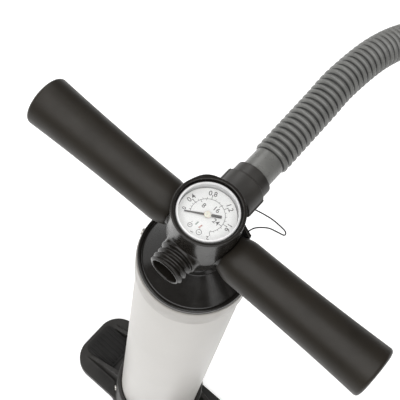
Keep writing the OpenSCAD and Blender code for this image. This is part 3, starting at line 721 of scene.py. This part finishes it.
def flat_strip(points, width, z, thick=0.04):
    """A thin band along points (x, y) with its face at height z."""
    p = np.array(points, float)
    way = np.gradient(p, axis=0)
    way /= np.linalg.norm(way, axis=1)[:, None]
    side = np.stack([-way[:, 1], way[:, 0]], 1) * width / 2
    n = len(p)
    edge = np.concatenate([p + side, p - side])
    points = [(*q, z) for q in edge] + [(*q, z - thick) for q in edge]
    faces = [[0, 2 * n, 3 * n, n], [n - 1, 2 * n - 1, 4 * n - 1, 3 * n - 1]]
    for i in range(n - 1):
        faces += [[i, n + i, n + i + 1, i + 1],
                  [2 * n + i, 2 * n + i + 1, 3 * n + i + 1, 3 * n + i],
                  [i, i + 1, 2 * n + i + 1, 2 * n + i],
                  [n + i, 3 * n + i, 3 * n + i + 1, n + i + 1]]
    return points, faces


def circle_points(r, start, stop, centre=(0, 0), count=60):
    return [(centre[0] + r * math.cos(a), centre[1] + r * math.sin(a))
            for a in np.radians(np.linspace(start, stop, count))]


def radial_points(angle, r0, r1):
    c, s = math.cos(math.radians(angle)), math.sin(math.radians(angle))
    return [(r0 * c, r0 * s), (r1 * c, r1 * s)]


def label_mesh(text, size, angle, radius, z, top=None):
    """Figures on the dial as thin solid shapes; their tops point outwards, or at angle top."""
    curve = bpy.data.curves.new("figure", "FONT")
    curve.body, curve.size = text, size
    curve.align_x, curve.align_y = "CENTER", "CENTER"
    curve.offset, curve.extrude = 0.04, 0.02
    obj = bpy.data.objects.new("figure", curve)
    bpy.context.scene.collection.objects.link(obj)
    mesh = bpy.data.meshes.new_from_object(obj)
    turn = Matrix.Rotation(math.radians((angle if top is None else top) - 90), 4, "Z")
    x, y = radial_points(angle, radius, radius)[0]
    out = [turn @ Vector((v.co.x, v.co.y, 0)) for v in mesh.vertices]
    points = [(v.x + x, v.y + y, z + min(0, w.co.z)) for v, w in zip(out, mesh.vertices)]
    faces = [list(p.vertices) for p in mesh.polygons]
    bpy.data.objects.remove(obj)
    return points, faces


def print_on_dial(name, parts, material):
    points, faces = [], []
    for some, more in parts:
        faces += [[i + len(points) for i in f] for f in more]
        points += some
    obj = add_object(name, points, faces, material, 0)
    place(obj, "handle", "dial_white")


def make_dial_print():
    z = DIAL_TOP + 0.05
    parts = [flat_strip(circle_points(SCALE_R, BAR_ANGLES[0], BAR_ANGLES[-1], count=120), 0.34, z)]
    for k, angle in enumerate(BAR_ANGLES):
        parts.append(flat_strip(radial_points(angle, SCALE_R - 0.1, SCALE_R + 3.2), 0.38, z))
        shift, size = (-6, 4.4) if k in (0, 5) else (0, 5.8)
        parts.append(label_mesh(BAR_LABELS[k], size, angle + shift, 18.6, z))
        if k:
            for m in (0.25, 0.5, 0.75):
                at = BAR_ANGLES[k - 1] + m * (angle - BAR_ANGLES[k - 1])
                parts.append(flat_strip(radial_points(at, SCALE_R, SCALE_R + 1.3), 0.3, z))
    for text, angle in PSI_MARKS:
        parts.append(flat_strip(radial_points(angle, SCALE_R - 2.4, SCALE_R), 0.38, z))
        parts.append(label_mesh(str(text), 5.6, angle - 2, 8.4, z, top=91))
    for k in range(1, 7):
        angle = PSI_MARKS[0][1] + (k - 1.5) * PSI_STEP
        parts.append(flat_strip(radial_points(angle, SCALE_R - 1.2, SCALE_R), 0.3, z))
    for centre, r in (((-4.8, -15.2), 1.7), ((4.2, -15.2), 2.1)):  # for the small marks
        parts.append(flat_strip(circle_points(r, 0, 354, centre, 32), 0.42, z))
        x, y = centre
        parts.append(flat_strip([(x - 0.8, y - 0.5), (x + 0.8, y + 0.5)], 0.4, z))
    parts.append(flat_strip([(-1.4, -18.9), (0.2, -18.6), (1.0, -18.2)], 0.5, z))
    print_on_dial("dial_figures", parts, PRINT)
    print_on_dial("dial_green_mark", [flat_strip([(-1.8, -12.2), (-1.5, -8.9)], 1.1, z)], GREEN)
    print_on_dial("dial_red_mark", [flat_strip([(1.8, -12.5), (2.3, -9.0)], 1.2, z)], RED)


make_gauge()
make_dial_print()


# ------------------------------------------------------------------ hose nut and cuff
NUT_BACK, NUT_FRONT, SLEEVE_END = 36.0, 54.5, 65.0


def nut_field(x, y, z):
    """The hose nut with its grip ribs, its sleeve and its bore."""
    up = z - AXIS
    about = np.hypot(x, up)
    angle = np.arctan2(up, x) + math.radians(12)
    lobe = np.abs((angle / math.pi + 0.5) % 1 - 0.5) * math.pi * about
    nut = rod_field(about, y, 18.6, NUT_BACK, NUT_FRONT, 0.7)
    rib = np.maximum(rod_field(about, y, 19.5, NUT_BACK + 0.3, NUT_FRONT - 0.3, 0.8), lobe - 4.2)
    sleeve = rod_field(about, y, 16.9, NUT_BACK, SLEEVE_END, 0.8)
    body = join(join(nut, rib, 0.5), sleeve, 0.8)
    body = cut(body, rod_field(about, y, 15.75, 30, 50, 0.3), 0.4)
    return cut(body, rod_field(about, y, 14.35, 48, 70, 0.3), 0.5)


nut = field_mesh("nut", nut_field, (-21, 34.5, AXIS - 21), (21, 66.5, AXIS + 21), 0.55,
                 NUT_BLACK)
place(nut, "nut", "hub_black", "hose_nut")
cuff = lathe("cuff", [(11, 47.2), (15.4, 47.2), (15.4, 49.7), (14, 49.7), (14, 85.2),
                      (13.4, 86), (11, 86)], MATERIALS["hose_grey"],
             centre=(0, 0, AXIS), axis=(0, 1, 0), sides=128, round_to=0.3)
place(cuff, "handle", "hose_grey", "hose_cuff")


# ------------------------------------------------------------------ base
def pad_box(x, y, half_x, half_y, corner):
    """Plan distance to a rounded rectangle."""
    a, b = np.abs(x) - half_x + corner, np.abs(y) - half_y + corner
    return np.hypot(np.maximum(a, 0), np.maximum(b, 0)) + np.minimum(np.maximum(a, b), 0) - corner


def slab(plan, z, low, high, edge):
    """A plate with rounded edges from its plan distance."""
    a, b = plan + edge, np.abs(z - (low + high) / 2) - (high - low) / 2 + edge
    return np.hypot(np.maximum(a, 0), np.maximum(b, 0)) + np.minimum(np.maximum(a, b), 0) - edge


def base_field(x, y, z):
    """Skirt round the barrel, foot plates with ribs, and pockets in the underside."""
    about, wide = np.hypot(x, y), np.abs(x)
    skirt = np.interp(z, [0, 8, 16, 58, 62], [59, 59, 56, 54.6, 53.7])
    body = slab(about - skirt, z, 0, 62, 1.2)
    plates = slab(pad_box(x, y, 115, 46, 30), z, 0, 13, 2.2)
    slope = (z - 50 + np.maximum(wide - 52, 0) * 0.771) / 1.26
    rib = np.maximum(np.maximum(np.abs(np.abs(y) - 26) - 2.5, slope),
                     np.maximum(np.maximum(40 - wide, wide - 100), 1 - z))
    body = join(join(body, plates, 4.0), rib, 2.5)
    body = cut(body, rod_field(about, z, 49.2, 12, 90, 0.5), 0.8)
    for centre in (74.5, 93.5):
        for across in (-22, 0, 22):
            pocket = box_field(wide, y, z, (centre, across, 0), (8, 9.5, 11), 1.0)
            body = cut(body, pocket, 0.8)
    return np.maximum(body, -z)


def pad_field(x, y, z):
    """A ribbed rubber pad on a foot plate."""
    sheet = slab(pad_box(x, y, 23, 23, 8), z, 0, 1.4, 0.4)
    ridge = np.abs((y / 6 + 0.5) % 1 - 0.5) * 6
    bars = np.maximum(np.maximum(ridge - 1.2, np.abs(x) - 19), np.maximum(np.abs(y) - 19.2,
                                                                         np.abs(z - 1.9) - 0.6))
    return join(sheet, bars, 0.5)


def make_base():
    base = field_mesh("base", base_field, (-117, -61, -1.5), (117, 61, 64), 1.1,
                      MATERIALS["base_black"])
    place(base, "barrel", "base_black", "base_plate")
    pads = field_mesh("foot_pad_set", pad_field, (-24, -24, -0.6), (24, 24, 3.2), 0.45,
                      MATERIALS["rubber_black"],
                      instances=[Matrix.Translation((s * 87, 0, 13)) for s in (-1, 1)])
    place(pads, "barrel", "rubber_black", "foot_pads")


make_base()


# ------------------------------------------------------------------ mode plug
def plug_field(x, y, z):
    """The plug with its finger tab, the tab's cord hole and a seal groove."""
    up = z - PLUG_HEIGHT
    about = np.hypot(x, up)
    body = join(rod_field(about, y, 6.0, 22.4, 31, 0.8),
                rod_field(about, y, 3.5, 15, 24, 0.4), 0.4)
    tab = box_field(x, y, up, (0, 39.25, 0), (1.5, 9.25, 4.5), 0.7)
    body = join(body, tab, 1.2)
    body = cut(body, np.maximum(np.hypot(y - 46, up) - 1.0, np.abs(x) - 4), 0.3)
    return cut(body, np.maximum(2.9 - about, np.abs(y - 18.4) - 0.9), 0.2)


plug = field_mesh("plug_knob", plug_field, (-7, 14, 539.5), (7, 49.5, 553.5), 0.4,
                  MATERIALS["hub_black"])
place(plug, "plug", "hub_black", "mode_plug")


# ------------------------------------------------------------------ floor, light
def area_light(name, place_at, target, size, power, colour=(1, 1, 1)):
    data = bpy.data.lights.new(name, "AREA")
    data.shape = "RECTANGLE"
    data.size, data.size_y = size
    data.energy = power
    data.color = colour
    obj = bpy.data.objects.new(name, data)
    at = Vector(place_at)
    obj.matrix_world = Matrix.Translation(at) @ (
        Vector(target) - at).to_track_quat("-Z", "Y").to_matrix().to_4x4()
    bpy.context.scene.collection.objects.link(obj)


def make_stage():
    """White paper under the pump, four soft lights and a plain white surround."""
    material, tree, bsdf = shader("floor_paper")
    tree.links.new(blend_colours(tree, noise(tree, 3, 2), (0.9, 0.9, 0.895), (0.93, 0.93, 0.925)),
                   bsdf.inputs["Base Color"])
    bsdf.inputs["Roughness"].default_value = 0.8
    bsdf.inputs["Specular IOR Level"].default_value = 0.2
    bsdf.inputs["Emission Color"].default_value = (1, 1, 1, 1)
    bsdf.inputs["Emission Strength"].default_value = 0.5
    half, cells = 4000.0, 8
    line = np.linspace(-half, half, cells + 1)
    points = [(x, y, -0.4) for y in line for x in line]  # just under the base
    faces = [[j * (cells + 1) + i, j * (cells + 1) + i + 1, (j + 1) * (cells + 1) + i + 1,
              (j + 1) * (cells + 1) + i] for j in range(cells) for i in range(cells)]
    add_object("floor", points, faces, material, 0)
    world = bpy.data.worlds.new("studio")
    world.use_nodes = True
    world.node_tree.nodes["Background"].inputs["Color"].default_value = (1, 1, 1, 1)
    world.node_tree.nodes["Background"].inputs["Strength"].default_value = 0.15
    bpy.context.scene.world = world
    hub_at = (0, 0, 0.57)
    area_light("overhead", (0.1, -0.62, 2.15), hub_at, (2.8, 2.3), 47)
    area_light("left_wall", (-1.5, -0.1, 0.62), hub_at, (1.8, 1.0), 5)
    area_light("right_fill", (1.38, -0.29, 1.08), hub_at, (0.5, 0.6), 1.2)
    area_light("back_left", (-1.1, 0.6, 1.58), hub_at, (0.9, 0.9), 6)
    view = bpy.context.scene.view_settings
    view.view_transform = "Standard"
    view.look = "None"


make_stage()
